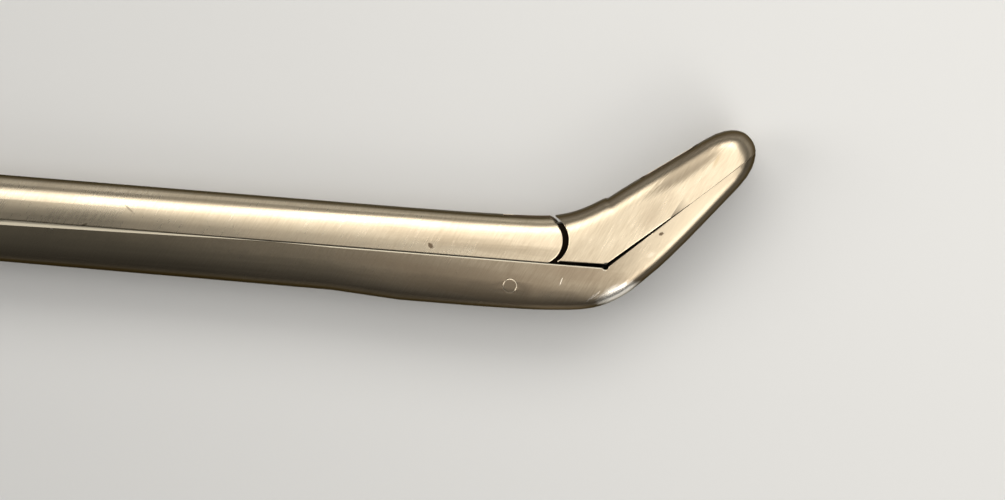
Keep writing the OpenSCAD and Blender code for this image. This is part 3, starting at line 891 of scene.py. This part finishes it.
@dataclass
class SlideBar(SteelPiece):
    """Upper bar of the shaft.

    Attributes:
        fork: The cheeks of its fork start here along X.
    """

    fork: float = 100 * MM

    def finish_of(self, face: bmesh.types.BMFace, open_share: float) -> int:
        """Sets the inner sides of the fork apart, where the jaw's tongue rubs."""
        middle = face.calc_center_median()
        inside = abs(middle.z - VIEW.centre[2]) < self.inner_half
        if middle.x > self.fork and inside and abs(face.normal.z) > 0.9:
            return 2
        return super().finish_of(face, open_share)


@dataclass
class FlushRivet(SteelPiece):
    """Pivot pin, ground flush with the bar, with a rim that was burnished bright."""

    def materials(self) -> list[bpy.types.Material]:
        """Makes the base ones, then the rim's finish."""
        return [*super().materials(), RIM_STEEL.build()]

    def finish_of(self, face: bmesh.types.BMFace, open_share: float) -> int:
        """Sets the small round rim apart from the flat end."""
        slanted = 0.1 < abs(face.normal.z) < 0.97
        return 3 if slanted else super().finish_of(face, open_share)


JAWS = Jaws()


@dataclass
class Forceps:
    """The whole instrument, as a list of its pieces."""

    pieces: Sequence[SteelPiece] = field(default_factory=lambda: (
        LowerHalf("lower_half", "fixed_half", "shaft", "satin_steel", LOWER_SHADED_STEEL,
                  edge_break=0.07 * MM, round_shade_tilt_deg=(10.0, 50.0)),
        SlideBar("slide", "slide_bar", "slide", "satin_steel", SLIDE_STEEL,
                 round_shade_tilt_deg=(46.0, 74.0)),
        SteelPiece("beak", "upper_jaw", "jaw", "satin_steel", BEAK_STEEL, dark_below=0.45,
                   round_shade_tilt_deg=(22.0, 64.0)),
        FlushRivet("pivot_rivet", "jaw_pivot_pin", "shaft", "pin_steel", FLUSH_STEEL,
                   edge_break=0.04 * MM),
        SteelPiece("drive_rivet", "drive_pin", "jaw", "pin_steel", FLUSH_STEEL),
        SteelPiece("finger_lever", "finger_handle", "finger", "satin_steel", HANDLE_STEEL,
                   edge_break=0.1 * MM),
        SteelPiece("pivot_screw", "handle_screw", "shaft", "screw_steel", SCREW_STEEL,
                   edge_break=0.1 * MM),
        SteelPiece("lever_rivet", "lever_pin", "slide", "pin_steel", LEVER_STEEL,
                   edge_break=0.12 * MM),
    ))

    def build(self) -> None:
        """Makes every piece in order."""
        shelter = Shelter()
        for piece in self.pieces:
            piece.build(shelter)


@dataclass(frozen=True)
class SoftLamp:
    """A rectangular soft box.

    Attributes:
        name: Its name.
        place: Its middle, measured from the middle of the picture.
        aim: The point that it faces, measured the same way.
        size: Its width and height.
        level: The brightness of its face, where 1 looks white.
        yaw_deg: How far it is turned about the vertical.
        colour: Its colour as sRGB hex.
    """

    name: str
    place: tuple[float, float, float]
    aim: tuple[float, float, float]
    size: tuple[float, float]
    level: float
    yaw_deg: float = 0.0
    colour: str = "#fffaf2"

    def build(self, middle: Vector) -> None:
        """Makes the lamp and turns it to the point that it lights.

        Args:
            middle: The middle of the picture.
        """
        data = bpy.data.lights.new(self.name, "AREA")
        data.shape = "RECTANGLE"
        data.size, data.size_y = self.size
        data.energy = self.level * math.pi * self.size[0] * self.size[1]
        data.color = linear(self.colour)[:3]
        lamp = bpy.data.objects.new(self.name, data)
        lamp.location = middle + Vector(self.place)
        lamp.rotation_mode = "QUATERNION"
        towards = Vector(self.aim) - Vector(self.place)
        yaw = Quaternion((0.0, 0.0, 1.0), math.radians(self.yaw_deg))
        lamp.rotation_quaternion = yaw @ towards.to_track_quat("-Z", "Y")
        lamp.visible_camera = False
        bpy.context.scene.collection.objects.link(lamp)


@dataclass
class Studio:
    """Plain pale floor, soft lamps and the photograph's camera.

    Attributes:
        floor_size: Side of the floor.
        room_colour: The room's colour as sRGB hex.
        room_level: The room's brightness.
        lamps: The soft boxes.
    """

    floor_size: float = 3.0
    room_colour: str = "#e6e4e0"
    room_level: float = 0.18
    lamps: Sequence[SoftLamp] = (
        SoftLamp("sky_box", (0.049, 0.026, 0.09), (0.049, 0.026, 0.0), (0.24, 0.12), 1.45,
                 yaw_deg=-57.0),
        SoftLamp("side_strip", (-0.02, 0.28, 0.25), (0.0, 0.0, 0.0), (0.6, 0.18), 1.9),
        SoftLamp("end_fill", (-0.36, 0.02, 0.26), (0.0, 0.0, 0.0), (0.2, 0.3), 3.0),
        SoftLamp("belly_box", (0.2, -0.2, 0.2), (0.0, 0.0, 0.0), (0.14, 0.14), 2.6),
    )

    def build(self) -> None:
        """Makes the floor, the room light, the lamps and the camera."""
        shape = bmesh.new()
        bmesh.ops.create_grid(shape, x_segments=1, y_segments=1, size=self.floor_size / 2)
        mesh = bpy.data.meshes.new("floor")
        shape.to_mesh(mesh)
        shape.free()
        mesh.materials.append(FLOOR_CARD.build())
        floor = bpy.data.objects.new("floor", mesh)
        bpy.context.scene.collection.objects.link(floor)
        world = bpy.data.worlds.new("room")
        world.use_nodes = True
        sky = world.node_tree.nodes["Background"]
        sky.inputs["Color"].default_value = linear(self.room_colour)
        sky.inputs["Strength"].default_value = self.room_level
        bpy.context.scene.world = world
        for lamp in self.lamps:
            lamp.build(Vector(VIEW.centre))
        VIEW.place()
        bpy.context.scene.view_settings.view_transform = "Standard"


def main() -> None:
    """Builds the forceps and the studio."""
    logging.basicConfig(level=logging.INFO, format="%(message)s")
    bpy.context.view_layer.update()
    Studio().build()
    Forceps().build()
    bpy.context.view_layer.update()


if __name__ == "__main__":
    main()
